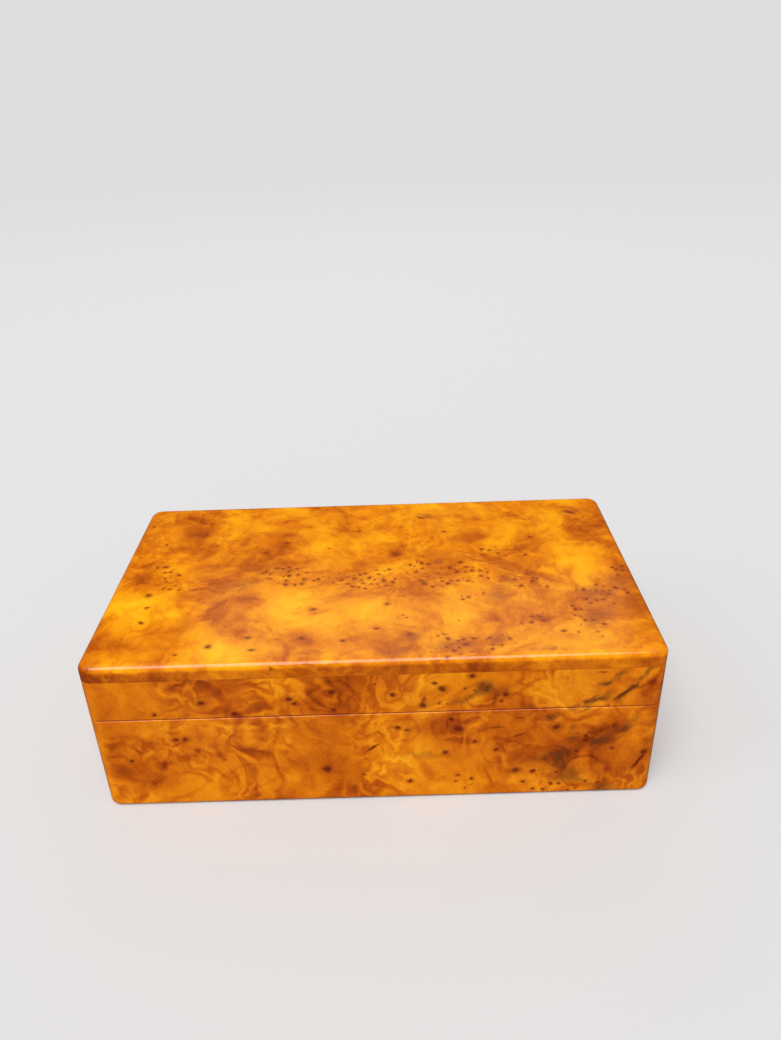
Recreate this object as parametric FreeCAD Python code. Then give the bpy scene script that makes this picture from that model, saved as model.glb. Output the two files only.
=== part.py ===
"""Burl puzzle box with a hinged lid, a sliding front panel that hides the keyhole,
and a runner under the back wall that hides the key.

Millimetres. +X runs along the box to the right, +Y from the front to the back, +Z up.
The origin is the middle of the footprint, on the surface that the box stands on.
"""

import FreeCAD, Part
import math
import os

from FreeCAD import Vector

# --- the closed box ---------------------------------------------------------------
BOX_LENGTH = 155.0
BOX_DEPTH = 88.0
BASE_HEIGHT = 31.5
LID_HEIGHT = 18.0
CORNER_RADIUS = 3.8
TOP_EDGE_RADIUS = 2.0
FOOT_EDGE_RADIUS = 1.2
ARRIS = 0.4
PARTING_GAP = 0.15

# --- boards -----------------------------------------------------------------------
PANEL_THICKNESS = 6.0
FRONT_WALL_THICKNESS = 7.0
BACK_WALL_THICKNESS = 9.0
END_WALL_THICKNESS = 9.0
LID_TOP_THICKNESS = 4.7
BOTTOM_THICKNESS = 8.0
FLOOR_THICKNESS = 2.5

# --- sliding fits -----------------------------------------------------------------
SLIDE_CLEARANCE = 0.15
FOOT_LIFT = 0.2
BATTEN_DEPTH = 3.0
BATTEN_FLARE = 1.0
BATTEN_FOOT_WEB = 2.5
BATTEN_LOCK_WEB = 2.0
BATTEN_END_COVER = 4.0
STOP_PIN_RADIUS = 0.8
STOP_PIN_GRIP = 4.0
STOP_PIN_REACH = 1.4
STOP_PIN_CLEARANCE = 0.3

# --- key runner -------------------------------------------------------------------
RUNNER_WIDTH = 14.0
TONGUE_DEPTH = 3.0
TONGUE_NECK = 3.0
TONGUE_FLARE = 0.8
POCKET_END_COVER = 6.0
POCKET_CLEARANCE = 0.5
POCKET_OPENING_MARGIN = 4.0
POCKET_CORNER_RADIUS = 2.5
POCKET_HEADROOM = 0.2

# --- hinges -----------------------------------------------------------------------
OPEN_ANGLE = 100.0
STOP_BEVEL_SLACK = 1.0
HINGE_INSET = 2.0
HINGE_END_DISTANCE = 32.0
HINGE_WIDTH = 18.0
HINGE_LEAF_LENGTH = 6.0
KNUCKLE_RADIUS = 1.5
HINGE_PIN_RADIUS = 0.7
PIN_CLEARANCE = 0.05
KNUCKLE_GAP = 0.1
KNUCKLE_POCKET_CLEARANCE = 0.2
LEAF_SCREW_SPACING = 11.0

# --- brass and screws -------------------------------------------------------------
SHEET = 0.8
SCREW_HEAD_RADIUS = 1.5
SCREW_SHANK_RADIUS = 0.7
SCREW_LENGTH = 6.0
SCREW_TIP = 1.5
SCREW_SLOT_WIDTH = 0.45
SCREW_SLOT_DEPTH = 0.4

# --- box lock ---------------------------------------------------------------------
LOCK_WIDTH = 26.0
LOCK_HEIGHT = 16.0
LOCK_END_MARGIN = 1.0
LOCK_CASE_WIDTH = 20.0
LOCK_CASE_WALL = 0.6
LOCK_CASE_FOOT = 1.5
LOCK_RIM_DEPTH = 6.0
LOCK_PIN_RADIUS = 0.5
LOCK_PIN_HEAD_RADIUS = 1.1
LOCK_PIN_HEAD_HEIGHT = 0.6
LOCK_PIN_LENGTH = 4.0
LOCK_PIN_EDGE = 1.5
KEYHOLE_DROP = 10.5
KEYHOLE_CLEARANCE = 0.4
KEYHOLE_VIEW_MARGIN = 8.0
BOLT_THICKNESS = 3.0
BOLT_LENGTH = 10.0
BOLT_HEIGHT = 4.0
BOLT_TOP_DROP = 2.8
BOLT_TONGUE_THICKNESS = 1.2
BOLT_TONGUE_HEIGHT = 2.0
BOLT_THROW = 3.0
BOLT_END_GAP = 0.6
BOLT_SHOULDER_GAP = 0.3
TALON_WIDTH = 3.0
TALON_DEPTH = 1.5
SPRING_STRIP = 0.3
SPRING_CLEARANCE = 0.05
SPRING_BEND_LEFT = 5.0
SPRING_FOOT_LEFT = 2.0
SPRING_FOOT_RIGHT = 1.0
SPRING_TIP_RIGHT = 1.5
STAPLE_THICKNESS = 1.6
STAPLE_WIDTH = 2.8
STAPLE_PLATE_GAP = 0.3
STAPLE_CASE_GAP = 0.5
STAPLE_WINDOW_CLEARANCE = 0.3
STAPLE_GAP = 0.4
STAPLE_FOOT = 0.9
LINK_WIDTH = 20.0
LINK_EDGE_DISTANCE = 0.8
LINK_SCREW_SPACING = 13.0

# --- key --------------------------------------------------------------------------
KEY_SHANK_RADIUS = 1.4
KEY_SHANK_LENGTH = 19.0
KEY_BARREL_RADIUS = 0.85
KEY_BARREL_DEPTH = 7.0
KEY_BIT_RADIUS = 4.3
KEY_BIT_LENGTH = 3.0
KEY_BIT_THICKNESS = 1.3
KEY_BIT_FROM_TIP = 0.8
KEY_COLLAR_RADIUS = 1.8
KEY_COLLAR_LENGTH = 1.2
KEY_BOW_RADIUS = 4.6
KEY_BOW_HOLE_RADIUS = 2.7
KEY_BOW_THICKNESS = 2.0
KEY_BOW_EDGE_RADIUS = 0.6
DRILL_PIN_CLEARANCE = 0.15

# --- places that follow from the sizes above ---------------------------------------
LEFT = -BOX_LENGTH / 2
RIGHT = BOX_LENGTH / 2
FRONT = -BOX_DEPTH / 2
BACK = BOX_DEPTH / 2
RIM = BASE_HEIGHT
LID_FOOT = BASE_HEIGHT + PARTING_GAP
LID_TOP_UNDERSIDE = BASE_HEIGHT + LID_HEIGHT - LID_TOP_THICKNESS
TOP = BASE_HEIGHT + LID_HEIGHT

PANEL_BACK = FRONT + PANEL_THICKNESS
WALL_FACE = PANEL_BACK + SLIDE_CLEARANCE
INSIDE_FRONT = WALL_FACE + FRONT_WALL_THICKNESS
INSIDE_BACK = BACK - BACK_WALL_THICKNESS
INSIDE_LEFT = LEFT + END_WALL_THICKNESS
INSIDE_RIGHT = RIGHT - END_WALL_THICKNESS
FLOOR_TOP = BOTTOM_THICKNESS + FLOOR_THICKNESS

HINGE_Y = BACK - HINGE_INSET
HINGE_Z = RIM + PARTING_GAP / 2
HINGE_PLACES = {"left": LEFT + HINGE_END_DISTANCE, "right": RIGHT - HINGE_END_DISTANCE}

LOCK_X = INSIDE_LEFT + LOCK_END_MARGIN + LOCK_WIDTH / 2
KEYHOLE_Z = RIM - KEYHOLE_DROP
PLATE_FACE = INSIDE_FRONT - SHEET
CASE_FACE = PLATE_FACE - STAPLE_PLATE_GAP - STAPLE_WIDTH - STAPLE_CASE_GAP - LOCK_CASE_WALL
CASE_FOOT = RIM - LOCK_HEIGHT + LOCK_CASE_FOOT
BOLT_Y = PLATE_FACE - STAPLE_PLATE_GAP - STAPLE_WIDTH / 2
BOLT_TOP = RIM - BOLT_TOP_DROP
BOLT_LEFT = LOCK_X - LOCK_CASE_WIDTH / 2 + LOCK_CASE_WALL + BOLT_END_GAP
BOLT_RIGHT = BOLT_LEFT + BOLT_LENGTH
BOLT_TONGUE = BOLT_THROW + BOLT_SHOULDER_GAP - STAPLE_GAP
STAPLE_X = BOLT_RIGHT + BOLT_TONGUE + STAPLE_GAP + STAPLE_THICKNESS / 2
LINK_FRONT = INSIDE_FRONT - LOCK_RIM_DEPTH
LINK_BACK = INSIDE_FRONT - LINK_EDGE_DISTANCE

PANEL_TRAVEL = LOCK_X - LEFT + KEYHOLE_VIEW_MARGIN
BATTEN_FOOT = FOOT_LIFT + BATTEN_FOOT_WEB
BATTEN_HEAD = RIM - LOCK_HEIGHT - BATTEN_LOCK_WEB
BATTEN_RIGHT = RIGHT - BATTEN_END_COVER - PANEL_TRAVEL

KEY_LENGTH = KEY_SHANK_LENGTH + 2 * KEY_BOW_RADIUS
POCKET_LENGTH = KEY_LENGTH + 2 * POCKET_CLEARANCE
POCKET_WIDTH = 2 * KEY_BOW_RADIUS + 2 * POCKET_CLEARANCE
POCKET_DEPTH = 2 * KEY_COLLAR_RADIUS + POCKET_HEADROOM
POCKET_RIGHT = RIGHT - POCKET_END_COVER
POCKET_LEFT = POCKET_RIGHT - POCKET_LENGTH
POCKET_Y = BACK - RUNNER_WIDTH / 2
RUNNER_TOP = BOTTOM_THICKNESS - SLIDE_CLEARANCE
RUNNER_TRAVEL = RIGHT - POCKET_LEFT + POCKET_OPENING_MARGIN

PANEL_PIN_X = (RIGHT + BATTEN_RIGHT) / 2 - STOP_PIN_GRIP
PANEL_PIN_Z = (BATTEN_HEAD + RIM) / 2
RUNNER_PIN_X = POCKET_LEFT - RUNNER_TRAVEL
RUNNER_PIN_Y = BACK - BACK_WALL_THICKNESS / 2

EDGE_TOLERANCE = 1e-4
CUTTER_MARGIN = 5.0


# --- shared shapes ----------------------------------------------------------------
def block(x0, x1, y0, y1, z0, z1):
    """A box between two corners."""
    return Part.makeBox(x1 - x0, y1 - y0, z1 - z0, Vector(x0, y0, z0))


def rod(radius, start, end):
    """A round bar from one point to another."""
    along = end - start
    return Part.makeCylinder(radius, along.Length, start, along)


def prism_along_x(outline, x0, x1):
    """A bar from x0 to x1 whose section is an outline of (y, z) corners."""
    corners = [Vector(x0, y, z) for y, z in outline]
    face = Part.Face(Part.makePolygon(corners + corners[:1]))
    return face.extrude(Vector(x1 - x0, 0, 0))


def prism_along_y(outline, y0, y1):
    """A bar from y0 to y1 whose section is an outline of (x, z) corners."""
    corners = [Vector(x, y0, z) for x, z in outline]
    face = Part.Face(Part.makePolygon(corners + corners[:1]))
    return face.extrude(Vector(0, y1 - y0, 0))


def edges_at_height(shape, height):
    """The edges that lie flat at one height."""
    return [
        edge
        for edge in shape.Edges
        if abs(edge.BoundBox.ZMin - height) < EDGE_TOLERANCE
        and abs(edge.BoundBox.ZMax - height) < EDGE_TOLERANCE
    ]


def upright_edges(shape):
    """The straight edges that run up and down."""
    return [
        edge
        for edge in shape.Edges
        if edge.BoundBox.XLength < EDGE_TOLERANCE
        and edge.BoundBox.YLength < EDGE_TOLERANCE
    ]


def rounded_case(low, high, low_radius, high_radius):
    """The outside of the box between two heights, with its corners and rims rounded."""
    case = block(LEFT, RIGHT, FRONT, BACK, low, high)
    case = case.makeFillet(CORNER_RADIUS, upright_edges(case))
    case = case.makeFillet(low_radius, edges_at_height(case, low))
    return case.makeFillet(high_radius, edges_at_height(case, high))


BASE_CASE = rounded_case(0, RIM, FOOT_EDGE_RADIUS, ARRIS)
LID_CASE = rounded_case(LID_FOOT, TOP, ARRIS, TOP_EDGE_RADIUS)


def eased_mouth(rim, deeper):
    """A cutter that takes the arris off the inner rim. Deeper is -1 in the base, 1 in the lid."""
    low, high = sorted((rim + deeper * ARRIS, rim - deeper * CUTTER_MARGIN))
    mouth = block(
        INSIDE_LEFT - ARRIS,
        INSIDE_RIGHT + ARRIS,
        INSIDE_FRONT - ARRIS,
        INSIDE_BACK + ARRIS,
        low,
        high,
    )
    return mouth.makeChamfer(ARRIS, edges_at_height(mouth, rim + deeper * ARRIS))


def stop_bevel(upwards):
    """The wedge behind the hinge axis: the two bevels meet when the lid is fully open."""
    reach = HINGE_INSET + CUTTER_MARGIN
    half_angle = math.radians((OPEN_ANGLE + STOP_BEVEL_SLACK) / 2)
    outline = [
        (HINGE_Y, HINGE_Z),
        (HINGE_Y + reach, HINGE_Z),
        (HINGE_Y + reach, HINGE_Z + upwards * reach * math.tan(half_angle)),
    ]
    return prism_along_x(outline, LEFT - CUTTER_MARGIN, RIGHT + CUTTER_MARGIN)


# --- screws and pins --------------------------------------------------------------
def wood_screw(x, y, z, point, with_slot=True):
    """A countersunk brass screw. Its head is flush at z, and point is -1 down or 1 up."""
    axis = Vector(0, 0, point)
    head = Part.makeCone(
        SCREW_HEAD_RADIUS, SCREW_SHANK_RADIUS, SHEET, Vector(x, y, z), axis
    )
    shank = Part.makeCylinder(
        SCREW_SHANK_RADIUS, SCREW_LENGTH - SCREW_TIP, Vector(x, y, z), axis
    )
    tip_start = Vector(x, y, z + point * (SCREW_LENGTH - SCREW_TIP))
    tip = Part.makeCone(SCREW_SHANK_RADIUS, 0, SCREW_TIP, tip_start, axis)
    screw = head.fuse([shank, tip]).removeSplitter()
    if with_slot:
        low, high = sorted((z, z + point * SCREW_SLOT_DEPTH))
        screw = screw.cut(
            block(
                x - SCREW_HEAD_RADIUS,
                x + SCREW_HEAD_RADIUS,
                y - SCREW_SLOT_WIDTH / 2,
                y + SCREW_SLOT_WIDTH / 2,
                low,
                high,
            )
        )
    return screw


def leaf_screw_places(hinge_x):
    """Where the two screws of a hinge leaf go, as (x, y)."""
    y = HINGE_Y - (KNUCKLE_RADIUS + HINGE_LEAF_LENGTH) / 2
    return [(hinge_x + side * LEAF_SCREW_SPACING / 2, y) for side in (-1, 1)]


def hinge_screws(z, point, with_slot=True):
    """The four screws that hold the leaves of both hinges to the base or to the lid."""
    return [
        wood_screw(x, y, z, point, with_slot)
        for hinge_x in HINGE_PLACES.values()
        for x, y in leaf_screw_places(hinge_x)
    ]


def link_screws(with_slot=True):
    """The two screws of the link plate, pointing up into the lid's front rail."""
    y = (LINK_FRONT + LINK_BACK) / 2
    return [
        wood_screw(LOCK_X + side * LINK_SCREW_SPACING / 2, y, LID_FOOT, 1, with_slot)
        for side in (-1, 1)
    ]


def lock_pins():
    """Four round-headed brass pins through the corners of the lock plate."""
    pins = []
    for side in (-1, 1):
        for z in (RIM - LOCK_HEIGHT + LOCK_PIN_EDGE, RIM - SHEET - 2 * LOCK_PIN_EDGE):
            x = LOCK_X + side * (LOCK_WIDTH / 2 - LOCK_PIN_EDGE)
            face = Vector(x, INSIDE_FRONT, z)
            shank = rod(LOCK_PIN_RADIUS, face - Vector(0, LOCK_PIN_LENGTH, 0), face)
            dome_radius = (
                LOCK_PIN_HEAD_RADIUS**2 + LOCK_PIN_HEAD_HEIGHT**2
            ) / (2 * LOCK_PIN_HEAD_HEIGHT)
            ball = Part.makeSphere(
                dome_radius, face - Vector(0, dome_radius - LOCK_PIN_HEAD_HEIGHT, 0)
            )
            head = ball.common(
                rod(LOCK_PIN_HEAD_RADIUS, face, face + Vector(0, LOCK_PIN_HEAD_HEIGHT, 0))
            )
            pins.append(shank.fuse(head))
    return pins


def panel_stop_pin():
    """A brass pin in the front wall that rides in a groove of the sliding panel."""
    return rod(
        STOP_PIN_RADIUS,
        Vector(PANEL_PIN_X, WALL_FACE + STOP_PIN_GRIP, PANEL_PIN_Z),
        Vector(PANEL_PIN_X, WALL_FACE - STOP_PIN_REACH, PANEL_PIN_Z),
    )


def runner_stop_pin():
    """A brass pin under the back wall that rides in a groove of the key runner."""
    return rod(
        STOP_PIN_RADIUS,
        Vector(RUNNER_PIN_X, RUNNER_PIN_Y, BOTTOM_THICKNESS + STOP_PIN_GRIP),
        Vector(RUNNER_PIN_X, RUNNER_PIN_Y, BOTTOM_THICKNESS - STOP_PIN_REACH),
    )


def stop_groove(pin_x, travel):
    """Ends of the groove that a stop pin needs, as (x low, x high, half width)."""
    room = STOP_PIN_RADIUS + STOP_PIN_CLEARANCE
    return pin_x - travel - room, pin_x + room, room


# --- sliding dovetails ------------------------------------------------------------
def batten_outline(grow):
    """Section of the dovetail batten on the panel's back, or of its groove when grown."""
    root = WALL_FACE - SLIDE_CLEARANCE
    tip = root + BATTEN_DEPTH + grow
    return [
        (root, BATTEN_FOOT + BATTEN_FLARE - grow),
        (tip, BATTEN_FOOT - grow),
        (tip, BATTEN_HEAD + grow),
        (root, BATTEN_HEAD - BATTEN_FLARE + grow),
    ]


def runner_outline(grow):
    """Section of the key runner with its dovetail tongue, or of its tunnel when grown."""
    shoulder = BACK - RUNNER_WIDTH - grow
    tongue_tip = BACK - RUNNER_WIDTH - TONGUE_DEPTH - grow
    middle = BOTTOM_THICKNESS / 2
    neck = TONGUE_NECK / 2 + grow
    tip = neck + TONGUE_FLARE
    foot = FOOT_LIFT if grow == 0 else -CUTTER_MARGIN
    outer = BACK + (CUTTER_MARGIN if grow else 0)
    return [
        (outer, foot),
        (shoulder, foot),
        (shoulder, middle - neck),
        (tongue_tip, middle - tip),
        (tongue_tip, middle + tip),
        (shoulder, middle + neck),
        (shoulder, RUNNER_TOP + grow),
        (outer, RUNNER_TOP + grow),
    ]


def runner_tunnel():
    """The space that the key runner slides in, through both end walls."""
    return prism_along_x(
        runner_outline(SLIDE_CLEARANCE), LEFT - CUTTER_MARGIN, RIGHT + CUTTER_MARGIN
    )


# --- base boards ------------------------------------------------------------------
def keyhole(y0, y1):
    """The keyhole: a round hole for the shank over a slot for the bit."""
    radius = KEY_SHANK_RADIUS + KEYHOLE_CLEARANCE
    slot = KEY_BIT_THICKNESS / 2 + KEYHOLE_CLEARANCE
    round_part = rod(radius, Vector(LOCK_X, y0, KEYHOLE_Z), Vector(LOCK_X, y1, KEYHOLE_Z))
    bit_foot = KEYHOLE_Z - KEY_BIT_RADIUS - KEYHOLE_CLEARANCE
    bit_part = block(LOCK_X - slot, LOCK_X + slot, y0, y1, bit_foot, KEYHOLE_Z)
    return round_part.fuse(bit_part).removeSplitter()


def lock_mortise():
    """The pocket for the lock plate and its case, cut from the inside and the rim."""
    plate = block(
        LOCK_X - LOCK_WIDTH / 2,
        LOCK_X + LOCK_WIDTH / 2,
        PLATE_FACE,
        INSIDE_FRONT + CUTTER_MARGIN,
        RIM - LOCK_HEIGHT,
        RIM + CUTTER_MARGIN,
    )
    rim_plate = block(
        LOCK_X - LOCK_WIDTH / 2,
        LOCK_X + LOCK_WIDTH / 2,
        INSIDE_FRONT - LOCK_RIM_DEPTH,
        INSIDE_FRONT + CUTTER_MARGIN,
        RIM - SHEET,
        RIM + CUTTER_MARGIN,
    )
    case = block(
        LOCK_X - LOCK_CASE_WIDTH / 2,
        LOCK_X + LOCK_CASE_WIDTH / 2,
        CASE_FACE,
        INSIDE_FRONT,
        CASE_FOOT,
        RIM,
    )
    return plate.fuse([rim_plate, case])


def front_wall():
    """The fixed wall behind the sliding panel. It holds the lock and the dovetail groove."""
    wall = block(LEFT, RIGHT, WALL_FACE, INSIDE_FRONT, 0, RIM).common(BASE_CASE)
    groove = prism_along_x(
        batten_outline(SLIDE_CLEARANCE),
        LEFT - CUTTER_MARGIN,
        BATTEN_RIGHT + PANEL_TRAVEL + SLIDE_CLEARANCE,
    )
    pins = [panel_stop_pin(), drill_pin(), *lock_pins()]
    key_way = keyhole(WALL_FACE - CUTTER_MARGIN, CASE_FACE + CUTTER_MARGIN)
    return wall.cut([groove, lock_mortise(), key_way, eased_mouth(RIM, -1), *pins])


def hinge_mortises(upwards):
    """Where the hinge leaves and knuckles are let into the wood, above or below the rim."""
    surface = LID_FOOT if upwards > 0 else RIM
    low, high = sorted((surface + upwards * SHEET, surface - upwards * CUTTER_MARGIN))
    cutters = []
    for x in HINGE_PLACES.values():
        cutters.append(
            block(
                x - HINGE_WIDTH / 2,
                x + HINGE_WIDTH / 2,
                HINGE_Y - HINGE_LEAF_LENGTH,
                HINGE_Y,
                low,
                high,
            )
        )
        cutters.append(
            rod(
                KNUCKLE_RADIUS + KNUCKLE_POCKET_CLEARANCE,
                Vector(x - HINGE_WIDTH / 2 - KNUCKLE_POCKET_CLEARANCE, HINGE_Y, HINGE_Z),
                Vector(x + HINGE_WIDTH / 2 + KNUCKLE_POCKET_CLEARANCE, HINGE_Y, HINGE_Z),
            )
        )
    return cutters


def back_wall():
    """The back of the base, over the key runner. Its top outer edge is the lid's stop."""
    wall = block(LEFT, RIGHT, INSIDE_BACK, BACK, BOTTOM_THICKNESS, RIM).common(BASE_CASE)
    cutters = [stop_bevel(-1), *hinge_mortises(-1), *hinge_screws(RIM, -1, False)]
    return wall.cut([*cutters, runner_stop_pin(), eased_mouth(RIM, -1)])


def end_wall(outer, inner):
    """A short wall of the base between the front and back walls, notched for the runner."""
    low, high = sorted((outer, inner))
    wall = block(low, high, INSIDE_FRONT, INSIDE_BACK, 0, RIM).common(BASE_CASE)
    return wall.cut([runner_tunnel(), eased_mouth(RIM, -1)])


def bottom_board():
    """The thick board that the box stands on. Its back edge guides the key runner."""
    board = block(
        INSIDE_LEFT, INSIDE_RIGHT, INSIDE_FRONT, INSIDE_BACK, 0, BOTTOM_THICKNESS
    )
    return board.cut(runner_tunnel())


def floor_board():
    """The thin board inside, over the runner's tunnel. In a low base it is cut for the lock's pins."""
    board = block(
        INSIDE_LEFT, INSIDE_RIGHT, INSIDE_FRONT, INSIDE_BACK, BOTTOM_THICKNESS, FLOOR_TOP
    )
    return board.cut(lock_pins())


# --- sliding front panel ----------------------------------------------------------
def front_panel():
    """The whole front face of the base. It slides to the right to bare the keyhole."""
    panel = block(LEFT, RIGHT, FRONT, PANEL_BACK, FOOT_LIFT, RIM).common(BASE_CASE)
    low, high, half_width = stop_groove(PANEL_PIN_X, PANEL_TRAVEL)
    groove = block(
        low,
        high,
        PANEL_BACK - STOP_PIN_REACH - STOP_PIN_CLEARANCE + SLIDE_CLEARANCE,
        PANEL_BACK + CUTTER_MARGIN,
        PANEL_PIN_Z - half_width,
        PANEL_PIN_Z + half_width,
    )
    return panel.cut(groove)


def front_panel_batten():
    """The dovetail strip glued to the back of the sliding panel."""
    strip = prism_along_x(batten_outline(0), LEFT, BATTEN_RIGHT)
    return strip.common(BASE_CASE)


# --- key runner and key -----------------------------------------------------------
def key_runner():
    """The bottom back edge of the box. It slides to the right with the key in its pocket."""
    runner = prism_along_x(runner_outline(0), LEFT, RIGHT).common(BASE_CASE)
    pocket = block(
        POCKET_LEFT,
        POCKET_RIGHT,
        POCKET_Y - POCKET_WIDTH / 2,
        POCKET_Y + POCKET_WIDTH / 2,
        RUNNER_TOP - POCKET_DEPTH,
        RUNNER_TOP + CUTTER_MARGIN,
    )
    pocket = pocket.makeFillet(POCKET_CORNER_RADIUS, upright_edges(pocket))
    low, high, half_width = stop_groove(RUNNER_PIN_X, RUNNER_TRAVEL)
    groove = block(
        low,
        high,
        RUNNER_PIN_Y - half_width,
        RUNNER_PIN_Y + half_width,
        BOTTOM_THICKNESS - STOP_PIN_REACH - STOP_PIN_CLEARANCE,
        RUNNER_TOP + CUTTER_MARGIN,
    )
    return runner.cut([pocket, groove])


def key():
    """A barrel key lying on its side in the runner's pocket, its bow to the left."""
    z = RUNNER_TOP - POCKET_DEPTH + KEY_COLLAR_RADIUS
    bow_x = POCKET_LEFT + POCKET_CLEARANCE + KEY_BOW_RADIUS
    shank_start = bow_x + (KEY_BOW_HOLE_RADIUS + KEY_BOW_RADIUS) / 2
    tip_x = bow_x + KEY_BOW_RADIUS + KEY_SHANK_LENGTH
    bow = rod(
        KEY_BOW_RADIUS,
        Vector(bow_x, POCKET_Y, z - KEY_BOW_THICKNESS / 2),
        Vector(bow_x, POCKET_Y, z + KEY_BOW_THICKNESS / 2),
    )
    bow = bow.makeFillet(KEY_BOW_EDGE_RADIUS, [e for e in bow.Edges if len(e.Vertexes) == 1])
    hole = rod(
        KEY_BOW_HOLE_RADIUS,
        Vector(bow_x, POCKET_Y, z - KEY_BOW_THICKNESS),
        Vector(bow_x, POCKET_Y, z + KEY_BOW_THICKNESS),
    )
    shank = rod(KEY_SHANK_RADIUS, Vector(shank_start, POCKET_Y, z), Vector(tip_x, POCKET_Y, z))
    collar_x = bow_x + KEY_BOW_RADIUS + KEY_COLLAR_LENGTH
    collar = rod(
        KEY_COLLAR_RADIUS,
        Vector(collar_x, POCKET_Y, z),
        Vector(collar_x + KEY_COLLAR_LENGTH, POCKET_Y, z),
    )
    bit = block(
        tip_x - KEY_BIT_FROM_TIP - KEY_BIT_LENGTH,
        tip_x - KEY_BIT_FROM_TIP,
        POCKET_Y - KEY_BIT_RADIUS,
        POCKET_Y,
        z - KEY_BIT_THICKNESS / 2,
        z + KEY_BIT_THICKNESS / 2,
    )
    barrel = rod(
        KEY_BARREL_RADIUS,
        Vector(tip_x - KEY_BARREL_DEPTH, POCKET_Y, z),
        Vector(tip_x + KEY_BARREL_RADIUS, POCKET_Y, z),
    )
    solid = bow.cut(hole).fuse([shank, collar, bit])
    return solid.cut(barrel)


# --- hinges -----------------------------------------------------------------------
def knuckle(hinge_x, start, end, bore):
    """One knuckle between two shares of the hinge's width: its barrel, and the bore for the pin."""
    x0 = hinge_x + (start - 0.5) * HINGE_WIDTH
    x1 = hinge_x + (end - 0.5) * HINGE_WIDTH
    ends = Vector(x0, HINGE_Y, HINGE_Z), Vector(x1, HINGE_Y, HINGE_Z)
    return rod(KNUCKLE_RADIUS, *ends), rod(bore, *ends)


def hinge_leaf(hinge_x, upwards):
    """A leaf let in flush. The base leaf has the two outer knuckles, the lid leaf the middle."""
    surface = LID_FOOT if upwards > 0 else RIM
    low, high = sorted((surface, surface + upwards * SHEET))
    gap = KNUCKLE_GAP / HINGE_WIDTH
    if upwards > 0:
        spans = [(1 / 3 + gap, 2 / 3 - gap)]
        clear_spans = [(0, 1 / 3 + gap), (2 / 3 - gap, 1)]
        bore = HINGE_PIN_RADIUS + PIN_CLEARANCE
    else:
        spans = [(0, 1 / 3), (2 / 3, 1)]
        clear_spans = [(1 / 3, 2 / 3)]
        bore = HINGE_PIN_RADIUS
    leaf = block(
        hinge_x - HINGE_WIDTH / 2,
        hinge_x + HINGE_WIDTH / 2,
        HINGE_Y - HINGE_LEAF_LENGTH,
        HINGE_Y - HINGE_PIN_RADIUS,
        low,
        high,
    )
    for start, end in clear_spans:
        x0 = hinge_x + (start - 0.5) * HINGE_WIDTH
        x1 = hinge_x + (end - 0.5) * HINGE_WIDTH
        swing = KNUCKLE_RADIUS + KNUCKLE_GAP
        leaf = leaf.cut(rod(swing, Vector(x0, HINGE_Y, HINGE_Z), Vector(x1, HINGE_Y, HINGE_Z)))
    for start, end in spans:
        barrel, hole = knuckle(hinge_x, start, end, bore)
        leaf = leaf.fuse(barrel).cut(hole)
    screws = [wood_screw(x, y, surface, upwards, False) for x, y in leaf_screw_places(hinge_x)]
    return leaf.cut(screws).removeSplitter()


def hinge_pin(hinge_x):
    """The pin of one hinge."""
    half = Vector(HINGE_WIDTH / 2, 0, 0)
    middle = Vector(hinge_x, HINGE_Y, HINGE_Z)
    return rod(HINGE_PIN_RADIUS, middle - half, middle + half)


# --- lock -------------------------------------------------------------------------
def staple_block(grow_x, front_room, back_room, low, high):
    """The upright bar of the staple, or the space that it needs, between two heights."""
    return block(
        STAPLE_X - STAPLE_THICKNESS / 2 - grow_x,
        STAPLE_X + STAPLE_THICKNESS / 2 + grow_x,
        BOLT_Y - STAPLE_WIDTH / 2 - front_room,
        BOLT_Y + STAPLE_WIDTH / 2 + back_room,
        low,
        high,
    )


def staple_slot():
    """The slot in the lock's rim plate, long enough for the staple's arc as the lid lifts."""
    drop = BOLT_TOP_DROP + BOLT_HEIGHT
    radius = HINGE_Y - BOLT_Y + STAPLE_WIDTH / 2
    swing = math.hypot(radius, drop) - radius
    front_room = swing + STAPLE_WINDOW_CLEARANCE
    return staple_block(
        STAPLE_WINDOW_CLEARANCE, front_room, STAPLE_WINDOW_CLEARANCE, RIM - 2 * SHEET, RIM + SHEET
    )


def lock_plate():
    """The L-shaped brass plate: its back shows inside the box, its rim on the parting line."""
    back = block(
        LOCK_X - LOCK_WIDTH / 2,
        LOCK_X + LOCK_WIDTH / 2,
        PLATE_FACE,
        INSIDE_FRONT,
        RIM - LOCK_HEIGHT,
        RIM,
    )
    rim = block(
        LOCK_X - LOCK_WIDTH / 2,
        LOCK_X + LOCK_WIDTH / 2,
        INSIDE_FRONT - LOCK_RIM_DEPTH,
        INSIDE_FRONT,
        RIM - SHEET,
        RIM,
    )
    plate = back.fuse(rim).removeSplitter()
    return plate.cut([staple_slot(), drill_pin(), *lock_pins()])


def lock_case():
    """The brass box on the front of the plate, open to the plate and to the rim."""
    outer = block(
        LOCK_X - LOCK_CASE_WIDTH / 2,
        LOCK_X + LOCK_CASE_WIDTH / 2,
        CASE_FACE,
        PLATE_FACE,
        CASE_FOOT,
        RIM - SHEET,
    )
    inner = block(
        LOCK_X - LOCK_CASE_WIDTH / 2 + LOCK_CASE_WALL,
        LOCK_X + LOCK_CASE_WIDTH / 2 - LOCK_CASE_WALL,
        CASE_FACE + LOCK_CASE_WALL,
        PLATE_FACE + LOCK_CASE_WALL,
        CASE_FOOT + LOCK_CASE_WALL,
        RIM,
    )
    return outer.cut([inner, keyhole(WALL_FACE, PLATE_FACE)])


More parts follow.
